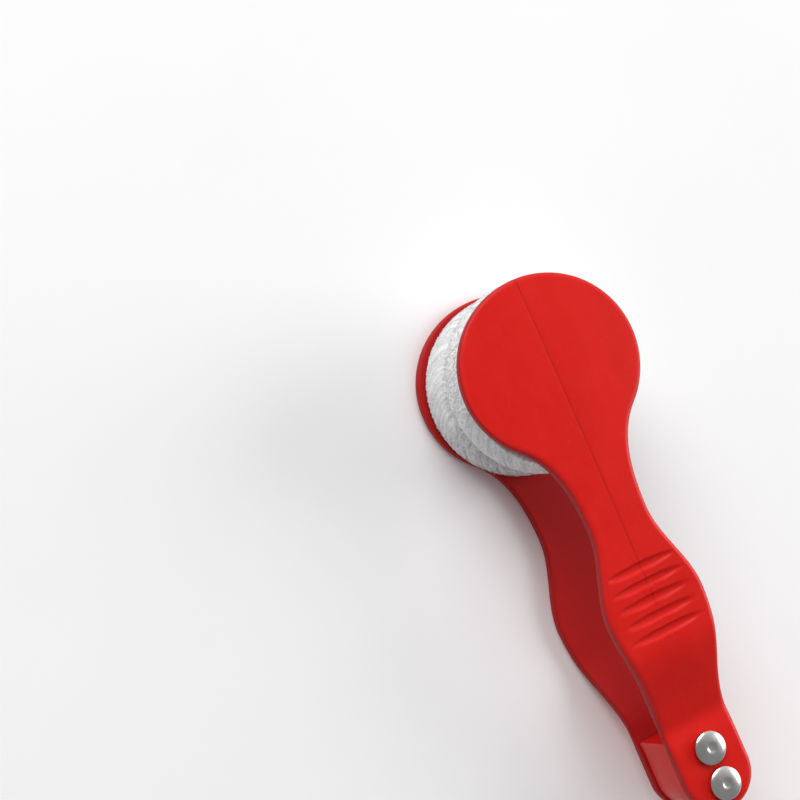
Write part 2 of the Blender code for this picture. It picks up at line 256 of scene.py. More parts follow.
def red_plastic():
    """Satin moulded plastic: faint flow marks and a fine grain; rougher side walls; painted shade on the side
    walls, the inner face and the crease; a painted highlight along the outer rim.
    """
    n = Nodes("red_plastic")
    flow = n.noise(90, detail=3, vector=n.stretched((1.0, 3.0, 3.0)))
    colour = n.ramp(flow, (0.635, 0.0080, 0.0045), (0.690, 0.0100, 0.0060))
    speck = n.ramp(n.noise(2600, detail=1), 0.0, 1.0, start=0.62, end=0.74)
    colour = n.mix(speck, colour, (0.69, 0.014, 0.009))
    # painted shade on the side walls and the inner face
    colour = n.mix(n.attribute("wall"), colour, (0.36, 0.0050, 0.0060))
    # painted shade along the crease, in place of the shade in its fine groove
    colour = n.mix(n.attribute("crease"), colour, (0.46, 0.0060, 0.0050))
    # painted highlight along the outer rim
    colour = n.mix(n.attribute("edge"), colour, (0.74, 0.020, 0.018))
    rough = n.ramp(n.noise(420, detail=3), 0.30, 0.40)
    rough = n.mix(n.attribute("wall"), rough, (0.55, 0.55, 0.55))
    grain = n.bump(n.noise(1500, detail=2), 0.004 * MM)
    n.set(Base_Color=colour, Roughness=rough, Specular_IOR_Level=0.22)
    n.set(Normal=n.bump(n.noise(240, detail=2), 0.010 * MM, below=grain))
    return n.material


def plush():
    """White microfibre with soft streaks. Shade is painted deeper in the nap, so the tips of the nap look
    lighter than the hollows between them.
    """
    n = Nodes("white_plush")
    streak = n.noise(900, detail=3, vector=n.stretched((1.0, 1.0, 0.5)))
    tips = n.ramp(streak, (0.80, 0.795, 0.80), (0.90, 0.895, 0.895), start=0.35, end=0.65)
    # painted shade in the nap's hollows and in the gathers at the hem
    colour = n.mix(n.attribute("nap_shade"), tips, (0.58, 0.57, 0.57))
    n.set(Base_Color=colour, Roughness=0.92, Sheen_Weight=0.15, Sheen_Roughness=0.45, Specular_IOR_Level=0.2)
    n.set(Normal=n.bump(n.noise(3600, detail=2), 0.02 * MM, strength=0.6))
    return n.material


def foam():
    """White open-cell foam, with shade painted in its pores."""
    n = Nodes("white_foam")
    cells = n.node("ShaderNodeTexVoronoi")
    cells.inputs["Scale"].default_value = FOAM_CELLS
    n.link(n.place, cells.inputs["Vector"])
    # painted shade in the pores
    pores = n.ramp(cells.outputs["Distance"], (0.55, 0.54, 0.50), (0.82, 0.81, 0.77), start=0.1, end=0.6)
    n.set(Base_Color=pores, Roughness=0.95, Specular_IOR_Level=0.2)
    n.set(Normal=n.bump(cells.outputs["Distance"], 0.12 * MM, strength=0.6))
    return n.material


def backing(name, low, high, rough_low, rough_high):
    """A plain pale plastic or adhesive foam, slightly mottled."""
    n = Nodes(name)
    n.set(Base_Color=n.ramp(n.noise(500, detail=3), low, high))
    n.set(Roughness=n.ramp(n.noise(900), rough_low, rough_high))
    n.set(Normal=n.bump(n.noise(1400), 0.02 * MM, strength=0.6))
    return n.material


def nickel_steel():
    """Nickel-plated spring steel: fine drawing marks round the wire and small rub marks."""
    n = Nodes("nickel_steel")
    cloud = n.noise(260, detail=4)
    rub = n.ramp(n.noise(900, detail=3), 0.0, 1.0, start=0.58, end=0.72)
    colour = n.mix(rub, n.ramp(cloud, (0.60, 0.585, 0.56), (0.70, 0.69, 0.665)), (0.52, 0.50, 0.47))
    rough = n.mix(rub, n.ramp(cloud, 0.16, 0.26), (0.36, 0.36, 0.36))
    marks = n.bump(n.noise(2400, detail=2, vector=n.stretched((1.0, 1.0, 4.0))), 0.006 * MM)
    n.set(Base_Color=colour, Metallic=1.0, Roughness=rough, Normal=marks)
    return n.material


def floor_surface():
    """A plain matt white sweep."""
    n = Nodes("floor")
    n.set(Base_Color=n.ramp(n.noise(30, detail=3), (0.93, 0.93, 0.93), (0.95, 0.95, 0.95)))
    n.set(Roughness=0.9, Specular_IOR_Level=0.1)
    return n.material


# ---------------------------------------------------------------- arms


def neck_curve(t):
    """A Bezier from the head's ellipse, along its tangent, to the narrowest part of the neck."""
    start = np.array((NECK_START_X, HEAD_HALF_WIDTH * math.sqrt(1 - (NECK_START_X / HEAD_HALF_LENGTH) ** 2)))
    slope = -((HEAD_HALF_WIDTH / HEAD_HALF_LENGTH) ** 2) * start[0] / start[1]
    end = np.array((NECK_X, NECK_HALF_WIDTH))
    reach = NECK_X - NECK_START_X
    leave = start + NECK_LEAVES * reach * np.array((1, slope))
    arrive = end - NECK_ARRIVES * reach * np.array((1, 0))
    t = t[:, None]
    return (1 - t) ** 3 * start + 3 * t * (1 - t) ** 2 * leave + 3 * t * t * (1 - t) * arrive + t**3 * end


def arm_edge():
    """(x, half width) closely along one edge of the moulding, from the head's tip to the root's round end."""
    head_turn = math.acos(-NECK_START_X / HEAD_HALF_LENGTH)
    turn = np.linspace(0, head_turn, HEAD_STEPS)[:-1]
    head = np.stack([-HEAD_HALF_LENGTH * np.cos(turn), HEAD_HALF_WIDTH * np.sin(turn)], axis=1)
    t = np.linspace(0, 1, CURVE_STEPS)[:-1]
    neck = neck_curve(t)
    grip = np.stack([
        NECK_X + (GRIP_X - NECK_X) * t,
        NECK_HALF_WIDTH + (GRIP_HALF_WIDTH - NECK_HALF_WIDTH) * smooth_step(t),
    ], axis=1)
    shoulder = np.stack([
        GRIP_X + (WEB_X - GRIP_X) * t,
        GRIP_HALF_WIDTH + (ROOT_HALF_WIDTH - GRIP_HALF_WIDTH) * smooth_step(t),
    ], axis=1)
    round_centre = ROOT_END_X - ROOT_HALF_WIDTH
    straight = np.stack([WEB_X + (round_centre - WEB_X) * t, np.full_like(t, ROOT_HALF_WIDTH)], axis=1)
    turn = np.linspace(0, math.pi / 2, CURVE_STEPS)
    end = np.stack([round_centre + ROOT_HALF_WIDTH * np.sin(turn), ROOT_HALF_WIDTH * np.cos(turn)], axis=1)
    return np.concatenate([head, neck, grip, shoulder, straight, end])


def stations(edge):
    """(x, half width, outward normal) at points along the edge, closer together where the relief is fine."""
    steps = np.linalg.norm(np.diff(edge, axis=0), axis=1)
    middle_x = (edge[1:, 0] + edge[:-1, 0]) / 2
    fine = (middle_x > FIRST_GROOVE_X - GROOVE_PITCH) & (middle_x < SHOULDER_START_X)
    spacing = np.where(fine, FINE_SPACING, SPACING)
    along = np.concatenate([[0], np.cumsum(steps / spacing)])
    at = np.linspace(0, along[-1], int(along[-1]) + 1)
    x = np.interp(at, along, edge[:, 0])
    half = np.interp(at, along, edge[:, 1])
    half[[0, -1]] = 0.0
    tangent = np.stack([np.gradient(x), np.gradient(half)], axis=1)
    tangent[0] = (0, 1)
    tangent[-1] = (0, -1)
    tangent /= np.linalg.norm(tangent, axis=1)[:, None]
    return x, half, np.stack([-tangent[:, 1], tangent[:, 0]], axis=1)


def face_height(x):
    """How far the back arm's outer face stands above the surface it lies on, and its slope."""
    t = np.clip((x - SHOULDER_START_X) / (WEB_X - SHOULDER_START_X), 0, 1)
    return ROOT_INSET * smooth_step(t), ROOT_INSET * 6 * t * (1 - t) / (WEB_X - SHOULDER_START_X)


def face_relief(x, y):
    """How deep the outer face lies below flat: its crown, crease, one half's fold and finger grooves."""
    to_neck = smooth_step((x + HEAD_HALF_LENGTH) / (NECK_X + HEAD_HALF_LENGTH))
    fades = 1 - smooth_step((x - NECK_X) / (RELIEF_END_X - NECK_X))
    crease = CREASE_DEPTH * np.clip(1 - (y / CREASE_HALF_WIDTH) ** 2, 0, 1) * fades
    fold = FOLD_SLOPE * np.clip(-y, 0, None) * to_neck * fades
    out = (y / HEAD_HALF_WIDTH) ** 2 + (np.clip(x, None, 0) / HEAD_HALF_LENGTH) ** 2
    depth = crease + fold + HEAD_CROWN * out * fades
    for i in range(GRIP_GROOVES):
        centre = FIRST_GROOVE_X + GROOVE_PITCH * i
        inside = 1 - ((x - centre) / GROOVE_HALF_WIDTH) ** 2 - (y / GROOVE_HALF_LENGTH) ** 2
        depth = depth + GROOVE_DEPTH * np.sqrt(np.clip(inside, 0, None))
    return depth


def section_plan():
    """Round the arm's section: (share of the half width, offset near the crease, inset, depth share).

    The depth share is from the outer face, 0, to the inner face, 1, through the two rounded edges.
    """
    shares = [-1, -0.97, -0.9, -0.78, -0.64, -0.5, -0.36, -0.24, -0.15, -0.08]
    crease = [-1.0, -0.66, -0.33, 0.0, 0.33, 0.66, 1.0]
    across = [(s, 0.0) for s in shares] + [(0.0, c) for c in crease] + [(-s, 0.0) for s in shares[::-1]]
    plan = [(share, near, OUTER_ROUND, 0.0) for share, near in across]
    side = []
    for i in range(1, ROUND_STEPS["outer"] + 1):
        turn = math.pi / 2 * i / ROUND_STEPS["outer"]
        fallen = OUTER_ROUND * (1 - math.cos(turn)) / ARM_THICKNESS
        side.append((OUTER_ROUND * (1 - math.sin(turn)), fallen))
    for i in range(ROUND_STEPS["inner"] + 1):
        turn = math.pi / 2 * (1 - i / ROUND_STEPS["inner"])
        risen = INNER_ROUND * (1 - math.cos(turn)) / ARM_THICKNESS
        side.append((INNER_ROUND * (1 - math.sin(turn)), 1 - risen))
    plan += [(1.0, 0.0, inset, depth) for inset, depth in side]
    plan += [(share, near, INNER_ROUND, 1.0) for share, near in across[-2:0:-1]]
    plan += [(-1.0, 0.0, inset, depth) for inset, depth in side[::-1]]
    return np.array(plan)


def arm_mesh():
    """The back arm's moulding; attributes mark where a highlight is painted on its outer rim and where shade
    is painted on its side walls, inner face and crease.
    """
    x, half, normal = stations(arm_edge())
    share, near, inset, depth = section_plan().T
    px = x[:, None] - inset * normal[:, :1]
    width = np.clip(half[:, None] - inset * normal[:, 1:], 0, None)
    py = share * width + near * CREASE_HALF_WIDTH * np.clip(width / NECK_HALF_WIDTH, 0, 1)
    outer = 1 - depth
    web = WEB_GROOVE_DEPTH * np.exp(-(((px - WEB_X) / WEB_GROOVE_REACH) ** 2))
    d = web + depth * (ARM_THICKNESS - 2 * web) + outer**4 * face_relief(px, py)
    height, slope = face_height(px)
    level = np.sqrt(1 + slope**2)
    points = np.stack([px - slope * d / level, py, height + d / level], axis=-1)
    # a painted highlight, strongest in the middle of the outer round
    rim = (np.abs(share) == 1) & (depth < 0.5) & (inset > 0)
    edge = np.where(rim, RIM_HIGHLIGHT * (1 - np.abs(inset / OUTER_ROUND - 0.5) * 2), 0.0)
    # painted shade on the side walls, fading over the outer round, and on the inner face
    wall = np.where(depth > 0.0, np.clip(1 - WALL_SHADE_FADE * inset / OUTER_ROUND, 0, 1), 0.0)
    wall = np.where(depth > 0.5, np.maximum(wall, INNER_FACE_SHADE), wall)
    # where shade is painted along the crease
    crease = np.clip(1 - np.abs(py) / CREASE_HALF_WIDTH, 0, 1) * outer**4 * (px < GRIP_X)
    spread = np.ones_like(px)
    return grid_mesh("arm", points, True, 0.002 * MM, edge=edge * spread, wall=wall * spread, crease=crease)


def build_arms(surface):
    """Each arm is one moulding, bent across the web near the tail, in place of the CAD arm and its root."""
    for side in ("back", "front"):
        mesh = arm_mesh()
        if side == "front":
            mesh.transform(TURNED_OVER)
        arm = new_object(side + "_arm_moulding", mesh, surface, smooth_angle=40)
        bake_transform(arm)
        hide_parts(side + "_arm", side + "_arm_root")


# ---------------------------------------------------------------- pads

SHOULDER_ROUND = 1.5 * MM
FOOT_ROUND = 0.5 * MM
SIDE_BULGE = 0.15 * MM
PAD_CROWN = 0.2 * MM
SQUEEZED_OUT = {"back": 0.2 * MM, "front": 0.65 * MM}  # how far the squeezed pad's free rim spreads
SPREAD_REACH = 1.5  # the spread grows from the head up to the pad's height divided by this
HEM_LOW = 0.12 * MM
HEM_RADIUS = TAPE_RADIUS + 0.4 * MM
LINING_RADIUS = CORE_RADIUS + 0.15 * MM
LINING_TOP = FOAM_HIGH + 0.15 * MM
LINING_SHADE = 0.8
PAD_ROWS = 128
PAD_COLUMNS = 480
PROFILE_STEPS = {"top": 60, "shoulder": 24, "side": 30, "foot": 13}

# The nap's relief. On the side its streaks lean, and on the top they run straight.
COMB = -math.tan(math.radians(34))  # the nap's lean on the pad's side, counter-clockwise as it rises
COMB_TURNS_AT = 2.6 * MM  # inside the pad's radius: the top's nap becomes the side's from here
COMB_TURNS_OVER = 1.4 * MM
STREAK = 0.016 * MM
STREAKS_ROUND = 30  # the pad's radius, in cells of the streaks' noise
STREAKS_UP = 0.22  # cells per mm of height
STREAKS_ACROSS = (2.0, 0.5)  # cells per mm on the top
TUFT = 0.012 * MM
TUFTS = 4.5  # cells per mm
RELIEF_GAIN = 1.6  # brings smooth noise to about -1 to 1
CALM_CENTRE = 0.6 * MM  # the relief fades out inside this radius
GATHER_PITCH = 0.8 * MM
GATHER = 0.035 * MM
GATHER_REACH = 1.3 * MM
GATHER_WANDER = 2.2  # how far the gathers stray from an even pitch, in radians of one gather
GATHER_WANDERS_ROUND = 6  # the pad's radius, in cells of the noise that they stray by
NAP_SHADE_SHARES = {"mean": 0.34, "streak": 0.6, "tuft": 0.2, "gather": 0.35}  # how much each relief of the nap adds to the painted shade in its hollows

# The tufts of fibres drawn out of the nap
SPIKE_LENGTH = 0.28 * MM
SPIKE_SHORTEST = 0.35  # of the full length
SPIKE_ALONG = 0.85
SPIKE_OUT = 0.42
SPIKE_SWAY = 0.12
SPIKE_SHARE = 0.22  # how many of the mesh's faces carry a tuft of fibres
SPIKE_FACE_AREA = 0.15 * MM * 0.13 * MM
SPIKE_CROWDING = 1.5  # the most that a large face's chance of a tuft is raised
TOP_FACING = 0.7  # a normal that stands this upright belongs to the top or the underside

FOAM_SOFT_EDGE = 0.5 * MM
FOAM_COLUMNS = 128
FOAM_STEPS = {"flat": 24, "round": 6, "side": 8}
FOAM_CELLS = 1800  # per metre
FOAM_DENT = 0.04 * MM

SIM_SCALE = 20.0
SIM_FRAMES = 20
SIM_VOXEL = 6.0 * MM  # at the simulation's scale
SIM_ROWS = 40
SIM_COLUMNS = 96
SIM_INSET = 0.3 * MM  # the cloth starts this much inside the cover
SIM_PINNED = 1.0 * MM  # the hem is held still up to this height
SIM_CAP = 0.35 * MM  # the most that it may swell or sink
SIM_FEELER = 3 * MM  # how far from the cover the swollen cloth is looked for
SMOOTHING = 30  # passes over the simulation's result, which the voxels leave stepped


def outer_profile(count):
    """(radius, height) and outward normal, from the top's middle over the shoulder and down to the hem."""
    side = PAD_RADIUS - SIDE_BULGE
    top = PAD_HEIGHT - SIM_CAP - 2 * STREAK  # leaves room for the cloth to swell
    flat = side - SHOULDER_ROUND
    steps = PROFILE_STEPS
    points = [(r, top - PAD_CROWN * (r / flat) ** 2) for r in np.linspace(0, flat, steps["top"])[:-1]]
    shoulder = top - PAD_CROWN
    for turn in np.linspace(0, math.pi / 2, steps["shoulder"])[:-1]:
        lowered = SHOULDER_ROUND * (1 - math.cos(turn))
        points.append((flat + SHOULDER_ROUND * math.sin(turn), shoulder - lowered))
    foot = HEM_LOW + FOOT_ROUND
    high = shoulder - SHOULDER_ROUND
    for t in np.linspace(0, 1, steps["side"])[:-1]:
        points.append((side + SIDE_BULGE * math.sin(math.pi * t), high + (foot - high) * t))
    for turn in np.linspace(0, math.pi / 2, steps["foot"]):
        points.append((side - FOOT_ROUND * (1 - math.cos(turn)), foot - FOOT_ROUND * math.sin(turn)))
    points = np.array(points)
    along = np.concatenate([[0], np.cumsum(np.linalg.norm(np.diff(points, axis=0), axis=1))])
    at = np.linspace(0, along[-1], count)
    profile = np.stack([np.interp(at, along, points[:, 0]), np.interp(at, along, points[:, 1])], axis=1)
    tangent = np.gradient(profile, axis=0)
    tangent /= np.linalg.norm(tangent, axis=1)[:, None]
    normal = np.stack([-tangent[:, 1], tangent[:, 0]], axis=1)
    normal[0] = (0, 1)
    return profile, normal


def rings(profile, columns):
    """Points round each (radius, height) of the profile."""
    turn = np.linspace(0, 2 * math.pi, columns, endpoint=False)
    r, z = np.asarray(profile, float).T
    height = np.repeat(z[:, None], columns, 1)
    return np.stack([np.outer(r, np.cos(turn)), np.outer(r, np.sin(turn)), height], axis=-1)


def swollen_pad():
    """The cover as cloth blown up over its stuffing, simulated at a larger scale.

    Returns a tree of its surface, at true size.
    """
    profile, normal = outer_profile(SIM_ROWS)
    profile = profile - SIM_INSET * normal
    profile[0, 0] = 0
    profile = np.concatenate([profile, [(0, HEM_LOW + SIM_INSET)]])
    mesh = grid_mesh("pad_cloth", rings(profile, SIM_COLUMNS) * SIM_SCALE, wrap=True, weld=0.01 * MM)
    cloth = bpy.data.objects.new("pad_cloth", mesh)
    bpy.context.scene.collection.objects.link(cloth)
    remesh = cloth.modifiers.new("Remesh", "REMESH")
    remesh.mode = "VOXEL"
    remesh.voxel_size = SIM_VOXEL
    applied(cloth)
    hem = [v.index for v in cloth.data.vertices if v.co.z < SIM_PINNED * SIM_SCALE]
    cloth.vertex_groups.new(name="hem").add(hem, 1.0, "REPLACE")
    settings = cloth.modifiers.new("Cloth", "CLOTH").settings
    settings.quality = 6
    settings.mass = 0.2
    settings.tension_stiffness = 12
    settings.compression_stiffness = 12
    settings.shear_stiffness = 6
    settings.bending_stiffness = 0.4
    settings.vertex_group_mass = "hem"
    settings.use_pressure = True
    settings.uniform_pressure_force = 4
    settings.effector_weights.gravity = 0
    for step in range(1, SIM_FRAMES + 1):
        bpy.context.scene.frame_set(step)
    applied(cloth)
    bpy.context.scene.frame_set(1)
    points = [v.co / SIM_SCALE for v in cloth.data.vertices]
    tree = BVHTree.FromPolygons(points, [tuple(p.vertices) for p in cloth.data.polygons])
    bpy.data.objects.remove(cloth)
    return tree


def nap_height(point, turn, on_side, seed):
    """Two reliefs of the nap, each about -1 to 1: combed streaks and finer tufts."""
    x, y, z = point * 1000  # in mm
    lean = turn - z * COMB / (PAD_RADIUS * 1000)
    wound = Vector((math.cos(lean) * STREAKS_ROUND, math.sin(lean) * STREAKS_ROUND, z * STREAKS_UP + seed))
    combed = Vector((x * STREAKS_ACROSS[0], y * STREAKS_ACROSS[1], seed))
    side = noise.noise(wound) if on_side > 0 else 0.0
    flat = noise.noise(combed) if on_side < 1 else 0.0
    streak = side * on_side + flat * (1 - on_side)
    tuft = noise.noise(Vector((x * TUFTS, y * TUFTS, z * TUFTS + seed)))
    return RELIEF_GAIN * streak, RELIEF_GAIN * tuft


def swelling(tree, profile, normal, turns):
    """How far the blown-up cloth stands out from the profile at each point, capped and smoothed."""
    grown = np.zeros((PAD_ROWS, PAD_COLUMNS))
    if tree is None:
        return grown
    for i, ((radius, height), (out_r, out_z)) in enumerate(zip(profile, normal)):
        for j, turn in enumerate(turns):
            c, s = math.cos(turn), math.sin(turn)
            base = Vector((radius * c, radius * s, height))
            out = Vector((out_r * c, out_r * s, out_z))
            hit = tree.ray_cast(base + out * SIM_FEELER, -out, 2 * SIM_FEELER)[0]
            if hit:
                grown[i, j] = max(-SIM_CAP, min(SIM_CAP, (hit - base).dot(out)))
    for _ in range(SMOOTHING):
        framed = np.pad(grown, ((1, 1), (0, 0)), mode="edge")
        grown = (framed[:-2] + framed[2:] + 2 * grown) / 4
        grown = (np.roll(grown, 1, axis=1) + np.roll(grown, -1, axis=1) + 2 * grown) / 4
    grown[0] = grown[0].mean()
    return grown


def cover_points(tree, spread, seed):
    """The napped outer surface, and how much shade is painted at each point for its depth in the nap, from 0
    to 1.
    """
    profile, normal = outer_profile(PAD_ROWS)
    turns = np.linspace(0, 2 * math.pi, PAD_COLUMNS, endpoint=False)
    grown = swelling(tree, profile, normal, turns)
    points = np.zeros((PAD_ROWS, PAD_COLUMNS, 3))
    nap_shade = np.zeros((PAD_ROWS, PAD_COLUMNS))
    gathers = round(2 * math.pi * PAD_RADIUS / GATHER_PITCH)
    for i, ((radius, height), (out_r, out_z)) in enumerate(zip(profile, normal)):
        on_side = float(smooth_step((radius - PAD_RADIUS + COMB_TURNS_AT) / COMB_TURNS_OVER))
        at_hem = float(smooth_step(1 - (height - HEM_LOW) / GATHER_REACH)) * on_side
        fade = min(1.0, radius / CALM_CENTRE)
        spreads = spread * float(smooth_step(height / PAD_HEIGHT * SPREAD_REACH)) * radius / PAD_RADIUS
        for j, turn in enumerate(turns):
            c, s = math.cos(turn), math.sin(turn)
            base = Vector((radius * c, radius * s, height))
            out = Vector((out_r * c, out_r * s, out_z))
            streak, tuft = nap_height(base, turn, on_side, seed)
            wandered = Vector((c * GATHER_WANDERS_ROUND, s * GATHER_WANDERS_ROUND, seed))
            wander = GATHER_WANDER * noise.noise(wandered)
            gather = at_hem * math.cos(gathers * turn + wander)
            lift = (STREAK * streak + TUFT * tuft + GATHER * gather) * fade
            points[i, j] = base + out * (grown[i, j] + lift) + Vector((spreads * c, spreads * s, 0))
            points[i, j, 2] = min(points[i, j, 2], PAD_HEIGHT)
            # painted shade, deeper where the nap's relief is low
            shade = NAP_SHADE_SHARES["mean"] - NAP_SHADE_SHARES["streak"] * streak - NAP_SHADE_SHARES["tuft"] * tuft - NAP_SHADE_SHARES["gather"] * gather
            nap_shade[i, j] = min(1.0, max(0.0, shade))
    return points, nap_shade


def raise_nap(points, nap_shade, rng):
    """The cover's grid, with tufts of fibres drawn out of some faces the way the nap is combed.

    Only the first PAD_ROWS rows, the outside, carry tufts. Returns the points, the faces and the painted
    shade's values.
    """
    rows, columns = nap_shade.shape
    at = np.arange(rows * columns).reshape(rows, columns)
    right = np.roll(at, -1, axis=1)
    quads = np.stack([at[:-1], right[:-1], right[1:], at[1:]], axis=-1).reshape(-1, 4)
    flat = points.reshape(-1, 3)
    corners = flat[quads]
    centre = corners.mean(axis=1)
    across = np.cross(corners[:, 2] - corners[:, 0], corners[:, 3] - corners[:, 1])
    size = np.linalg.norm(across, axis=1)
    normal = across / np.maximum(size, 1e-12)[:, None]
    outward = centre - np.array((0, 0, PAD_HEIGHT / 2))
    normal *= np.sign((normal * outward).sum(axis=1))[:, None]
    around = np.stack([-centre[:, 1], centre[:, 0], np.zeros(len(centre))], axis=1)
    around /= np.maximum(np.linalg.norm(around, axis=1), 1e-9)[:, None]
    comb = around * COMB + np.array((0, 0, 1.0))
    comb[np.abs(normal[:, 2]) > TOP_FACING] = (0, 1.0, 0)
    comb -= normal * (comb * normal).sum(axis=1)[:, None]
    comb /= np.maximum(np.linalg.norm(comb, axis=1), 1e-9)[:, None]
    length = SPIKE_LENGTH * rng.uniform(SPIKE_SHORTEST, 1.0, len(centre))
    sway = rng.normal(0, SPIKE_SWAY, (len(centre), 3))
    tip = centre + (comb * SPIKE_ALONG + normal * SPIKE_OUT + sway) * length[:, None]
    chance = SPIKE_SHARE * np.minimum(SPIKE_CROWDING, size / 2 / SPIKE_FACE_AREA)
    raised = rng.uniform(0, 1, len(centre)) < chance
    raised &= np.arange(len(centre)) < (PAD_ROWS - 1) * columns
    raised &= (tip[:, 2] < PAD_HEIGHT) & (tip[:, 2] > HEM_LOW)
    tips = np.arange(raised.sum()) + len(flat)
    fans = [np.column_stack([quads[raised, i], quads[raised, (i + 1) % 4], tips]) for i in range(4)]
    faces = quads[~raised].tolist() + np.concatenate(fans).tolist()
    return np.concatenate([flat, tip[raised]]), faces, np.concatenate([nap_shade.ravel(), np.zeros(len(tips))])


def cover_mesh(tree, spread, seed):
    """The plush cover, a closed shell over the foam and the disc, with its hem turned under the disc."""
    points, nap_shade = cover_points(tree, spread, seed)
    lining = [  # (radius, height), from under the hem, round the disc's rim and up over the foam
        (HEM_RADIUS + 0.5 * MM, HEM_LOW),
        (HEM_RADIUS, HEM_LOW + 0.2 * MM),
        (HEM_RADIUS, HEM_LOW + 0.6 * MM),
        (LINING_RADIUS - 0.2 * MM, HEM_LOW + 0.75 * MM),
        (LINING_RADIUS, HEM_LOW + 1.0 * MM),
        (LINING_RADIUS, LINING_TOP - 0.5 * MM),
        (LINING_RADIUS - 0.5 * MM, LINING_TOP),
        (0.0, LINING_TOP),
    ]
    whole = np.concatenate([points, rings(lining, PAD_COLUMNS)])
    shade = np.concatenate([nap_shade, np.full((len(lining), PAD_COLUMNS), LINING_SHADE)])
    corners, faces, shade = raise_nap(whole, shade, np.random.default_rng(int(seed * 10)))
    mesh = bpy.data.meshes.new("plush_cover")
    mesh.from_pydata(corners.tolist(), [], faces)
    mesh.attributes.new("nap_shade", "FLOAT", "POINT").data.foreach_set("value", shade.astype(np.float32))
    bm = bmesh.new()
    bm.from_mesh(mesh)
    bmesh.ops.remove_doubles(bm, verts=bm.verts, dist=0.0005 * MM)
    bmesh.ops.recalc_face_normals(bm, faces=bm.faces)
    bm.to_mesh(mesh)
    bm.free()
    return mesh


def foam_mesh(seed):
    """The foam core, a puck with softened edges and a surface of small pores."""
    low, high, radius, soft = FOAM_LOW, FOAM_HIGH, CORE_RADIUS, FOAM_SOFT_EDGE
    flat = np.linspace(0, radius - soft, FOAM_STEPS["flat"])
    rounded = np.linspace(0, math.pi / 2, FOAM_STEPS["round"])
    profile = [(r, high) for r in flat]
    for turn in rounded[1:]:
        profile.append((radius - soft * (1 - math.sin(turn)), high - soft * (1 - math.cos(turn))))
    profile += [(radius, z) for z in np.linspace(high - soft, low + soft, FOAM_STEPS["side"])[1:-1]]
    for turn in rounded:
        profile.append((radius - soft * (1 - math.cos(turn)), low + soft - soft * math.sin(turn)))
    profile += [(r, low) for r in flat[-2::-1]]
    mesh = grid_mesh("foam_core", rings(profile, FOAM_COLUMNS), True, 0.0005 * MM)
    for vert in mesh.vertices:
        dent = FOAM_DENT * (1 + noise.noise(Vector(vert.co) * FOAM_CELLS + Vector((0, 0, seed))))
        vert.co -= vert.normal * dent
    return mesh


def on_head(side):
    """From a pad's own place, standing on z = 0, to its place on that side's head."""
    place = Matrix.Translation((PAD_X, 0, ARM_THICKNESS))
    return TURNED_OVER @ place if side == "front" else place


def build_pads(plush_surface, foam_surface):
    tree = swollen_pad()
    for side, seed in (("back", 3.7), ("front", 19.2)):
        mesh = cover_mesh(tree, SQUEEZED_OUT[side], seed)
        mesh.transform(on_head(side))
        cover = new_object(side + "_plush_pad", mesh, plush_surface, smooth_angle=180)
        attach(cover, side + "_arm")
        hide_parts(side + "_pad_cover")
        mesh = foam_mesh(seed)
        mesh.transform(on_head(side))
        core = new_object(side + "_foam_core", mesh, foam_surface, smooth_angle=60)
        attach(core, side + "_arm")
        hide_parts(side + "_pad_foam")


# ---------------------------------------------------------------- tail

BLOCK_ROUND = 0.4 * MM
LUG_X = 60.4 * MM
LUG_RADIUS = 3.6 * MM
LUG_HALF_WIDTH = 2.2 * MM
LUG_HOLE_RADIUS = 2.0 * MM
LUG_ROUND = 0.5 * MM
LUG_NARROWS = 0.6 * MM
LUG_HOLE_COLUMNS = 48
RIVET_HEAD_HEIGHT = 0.8 * MM
RIVET_XS = (49.4 * MM, 54.0 * MM)
RIVET_RADIUS = 1.0 * MM
RIVET_BRIM = 0.22 * MM  # the dome's foot, above the head's underside
RIVET_BEVEL = (0.08 * MM, 0.12 * MM)  # under the rim, inwards and upwards
DOME_FULLNESS = 2.4
DOME_REACH = 0.94  # the head's radius, as a share of the dome's own
DOME_STEPS = 30
DIMPLE_DEPTH = 0.12 * MM
DIMPLE_SHARE = 0.28  # of the head's radius
RIVET_COLUMNS = 72
RING_RADIAL = 1.6 * MM
RING_AXIAL = 2.0 * MM
RING_CLEARANCE = 0.1 * MM
RING_CORNER = 0.28 * MM
RING_CORNER_STEPS = 5
RING_SEAM = 0.03 * MM  # between the two turns
RING_RAMP = math.radians(26)
RING_GAP = 0.06  # of the ramp, between the ramp and each of the wire's ends
RING_END_AT = 35  # degrees round the ring, from its far side, at which the wire's ends meet
RING_END_TAPER = 0.93
RING_SETTLES = 0.95  # of the wire's half height, in how far the ring droops
RING_STEPS = 460


def closed_prism(name, outline, low, high, corner, steps=5):
    """A closed solid through an (x, y) loop, from low to high in z, with rounded rims."""
    outline = np.asarray(outline, float)
    ahead, behind = np.roll(outline, -1, axis=0), np.roll(outline, 1, axis=0)
    along = ahead - behind
    inward = np.stack([-along[:, 1], along[:, 0]], axis=1) / np.linalg.norm(along, axis=1)[:, None]
    turns = np.linspace(0, math.pi / 2, steps)
    levels = [(corner * (1 - math.sin(t)), low + corner * (1 - math.cos(t))) for t in turns]
    levels += [(corner * (1 - math.sin(t)), high - corner * (1 - math.cos(t))) for t in turns[::-1]]
    rows = [np.column_stack([outline + inward * inset, np.full(len(outline), z)]) for inset, z in levels]
    bm = bmesh.new()
    loops = [[bm.verts.new(point) for point in row] for row in rows]
    for lower, upper in zip(loops, loops[1:]):
        for i in range(len(lower)):
            j = (i + 1) % len(lower)
            bm.faces.new((lower[i], lower[j], upper[j], upper[i]))
    bm.faces.new(loops[0][::-1])
    bm.faces.new(loops[-1])
    bmesh.ops.recalc_face_normals(bm, faces=bm.faces)
    mesh = bpy.data.meshes.new(name)
    bm.to_mesh(mesh)
    bm.free()
    return mesh


